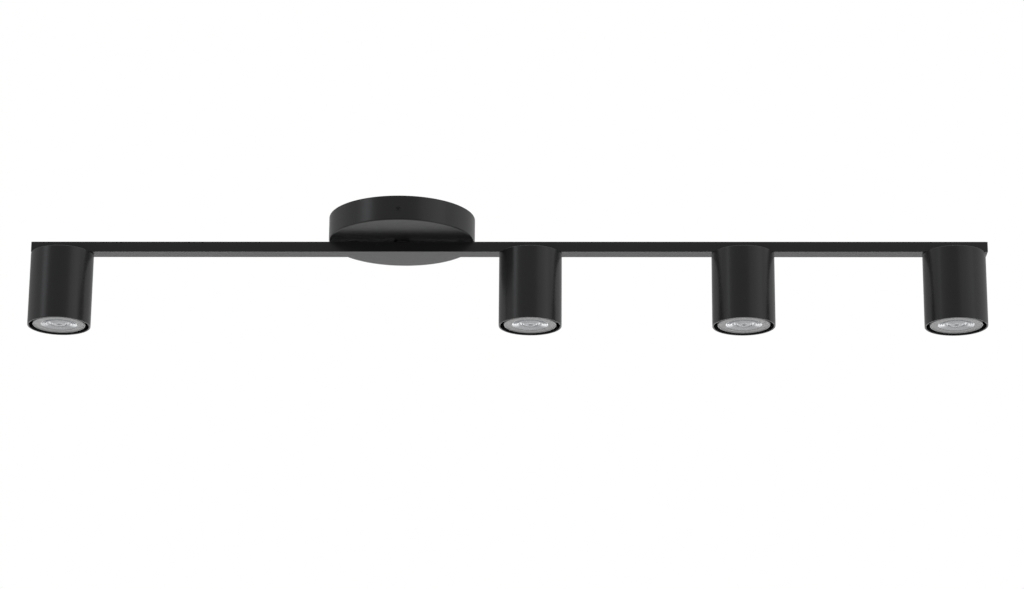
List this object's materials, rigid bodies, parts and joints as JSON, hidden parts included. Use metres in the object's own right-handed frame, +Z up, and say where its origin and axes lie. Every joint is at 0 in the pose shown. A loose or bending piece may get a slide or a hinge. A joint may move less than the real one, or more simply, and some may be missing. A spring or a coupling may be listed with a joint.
{
  "type": "track lighting fixture",
  "caption": "Ceiling spotlight bar: a round canopy holds a slim straight rail with plain cylinder heads, each with a twist-lock spotlight lamp facing down.",
  "frame": {"origin": "centre of the canopy on the ceiling plane, midway between the mounting strap's two slots", "axes": "+Z up towards the ceiling, +X along the rail towards its long end, -Y towards the room's viewer"},
  "size_m": [0.9152, 0.14, 0.1072],
  "materials": {
    "canopy_black": "fine-textured matte black powder coat",
    "rail_black": "fine-textured matte black powder coat",
    "head_black": "satin black powder coat",
    "end_cap_black": "matte moulded plastic",
    "black_steel": "black oxide",
    "zinc_steel": "bright zinc plate",
    "green_steel": "green dyed zinc plate",
    "black_nylon": "moulded nylon",
    "connector_plastic": "ribbed moulded plastic",
    "black_insulation": "smooth wire insulation",
    "white_insulation": "smooth wire insulation",
    "green_insulation": "smooth wire insulation",
    "ceramic": "unglazed steatite ceramic",
    "lamp_plastic": "grey moulded heat-conducting plastic",
    "pin_metal": "nickel plate",
    "board_white": "white solder mask",
    "lens_plastic": "moulded clear lens with fine rings"
  },
  "bodies": {
    "canopy": {"canopy_cup": "canopy_black", "mounting_strap": "zinc_steel", "canopy_screws": "black_steel", "ground_screw": "green_steel", "canopy_stem": "zinc_steel", "stem_nut": "zinc_steel", "swivel_washer": "black_nylon", "wire_connectors": "connector_plastic", "live_lead": "black_insulation", "neutral_lead": "white_insulation", "ground_lead": "green_insulation"},
    "rail": {"rail_channel": "rail_black", "rail_cover": "rail_black", "rail_bridge": "zinc_steel", "end_cap_left": "end_cap_black", "end_cap_right": "end_cap_black", "rail_live_wire": "black_insulation", "rail_neutral_wire": "white_insulation", "rail_splices": "zinc_steel", "head_stems": "zinc_steel", "slip_washers": "black_nylon", "stop_washers": "zinc_steel", "head_nuts": "zinc_steel"},
    "head_1": {"head_shell_1": "head_black", "holder_bracket_1": "zinc_steel", "holder_screws_1": "zinc_steel", "lampholder_1": "ceramic", "holder_leads_1": "white_insulation"},
    "lamp_1": {"lamp_housing_1": "lamp_plastic", "lamp_pins_1": "pin_metal", "led_board_1": "board_white", "lamp_lens_1": "lens_plastic"},
    "head_2": {"head_shell_2": "head_black", "holder_bracket_2": "zinc_steel", "holder_screws_2": "zinc_steel", "lampholder_2": "ceramic", "holder_leads_2": "white_insulation"},
    "lamp_2": {"lamp_housing_2": "lamp_plastic", "lamp_pins_2": "pin_metal", "led_board_2": "board_white", "lamp_lens_2": "lens_plastic"},
    "head_3": {"head_shell_3": "head_black", "holder_bracket_3": "zinc_steel", "holder_screws_3": "zinc_steel", "lampholder_3": "ceramic", "holder_leads_3": "white_insulation"},
    "lamp_3": {"lamp_housing_3": "lamp_plastic", "lamp_pins_3": "pin_metal", "led_board_3": "board_white", "lamp_lens_3": "lens_plastic"},
    "head_4": {"head_shell_4": "head_black", "holder_bracket_4": "zinc_steel", "holder_screws_4": "zinc_steel", "lampholder_4": "ceramic", "holder_leads_4": "white_insulation"},
    "lamp_4": {"lamp_housing_4": "lamp_plastic", "lamp_pins_4": "pin_metal", "led_board_4": "board_white", "lamp_lens_4": "lens_plastic"}
  },
  "joints": [
    {"name": "rail_swivel", "type": "hinge", "parent": "canopy", "child": "rail", "pos_m": [0, 0, -0.03], "axis": [0, 0, 1], "range_deg": [-170, 170]},
    {"name": "head_1_swivel", "type": "hinge", "parent": "rail", "child": "head_1", "pos_m": [-0.326, 0, -0.0352], "axis": [0, 0, 1], "range_deg": [-160, 160]},
    {"name": "lamp_1_twist", "type": "hinge", "parent": "head_1", "child": "lamp_1", "pos_m": [-0.326, 0, -0.06], "axis": [0, 0, -1], "range_deg": [0, 45]},
    {"name": "head_2_swivel", "type": "hinge", "parent": "rail", "child": "head_2", "pos_m": [0.1235, 0, -0.0352], "axis": [0, 0, 1], "range_deg": [-160, 160]},
    {"name": "lamp_2_twist", "type": "hinge", "parent": "head_2", "child": "lamp_2", "pos_m": [0.1235, 0, -0.06], "axis": [0, 0, -1], "range_deg": [0, 45]},
    {"name": "head_3_swivel", "type": "hinge", "parent": "rail", "child": "head_3", "pos_m": [0.3265, 0, -0.0352], "axis": [0, 0, 1], "range_deg": [-160, 160]},
    {"name": "lamp_3_twist", "type": "hinge", "parent": "head_3", "child": "lamp_3", "pos_m": [0.3265, 0, -0.06], "axis": [0, 0, -1], "range_deg": [0, 45]},
    {"name": "head_4_swivel", "type": "hinge", "parent": "rail", "child": "head_4", "pos_m": [0.5277, 0, -0.0352], "axis": [0, 0, 1], "range_deg": [-160, 160]},
    {"name": "lamp_4_twist", "type": "hinge", "parent": "head_4", "child": "lamp_4", "pos_m": [0.5277, 0, -0.06], "axis": [0, 0, -1], "range_deg": [0, 45]}
  ]
}
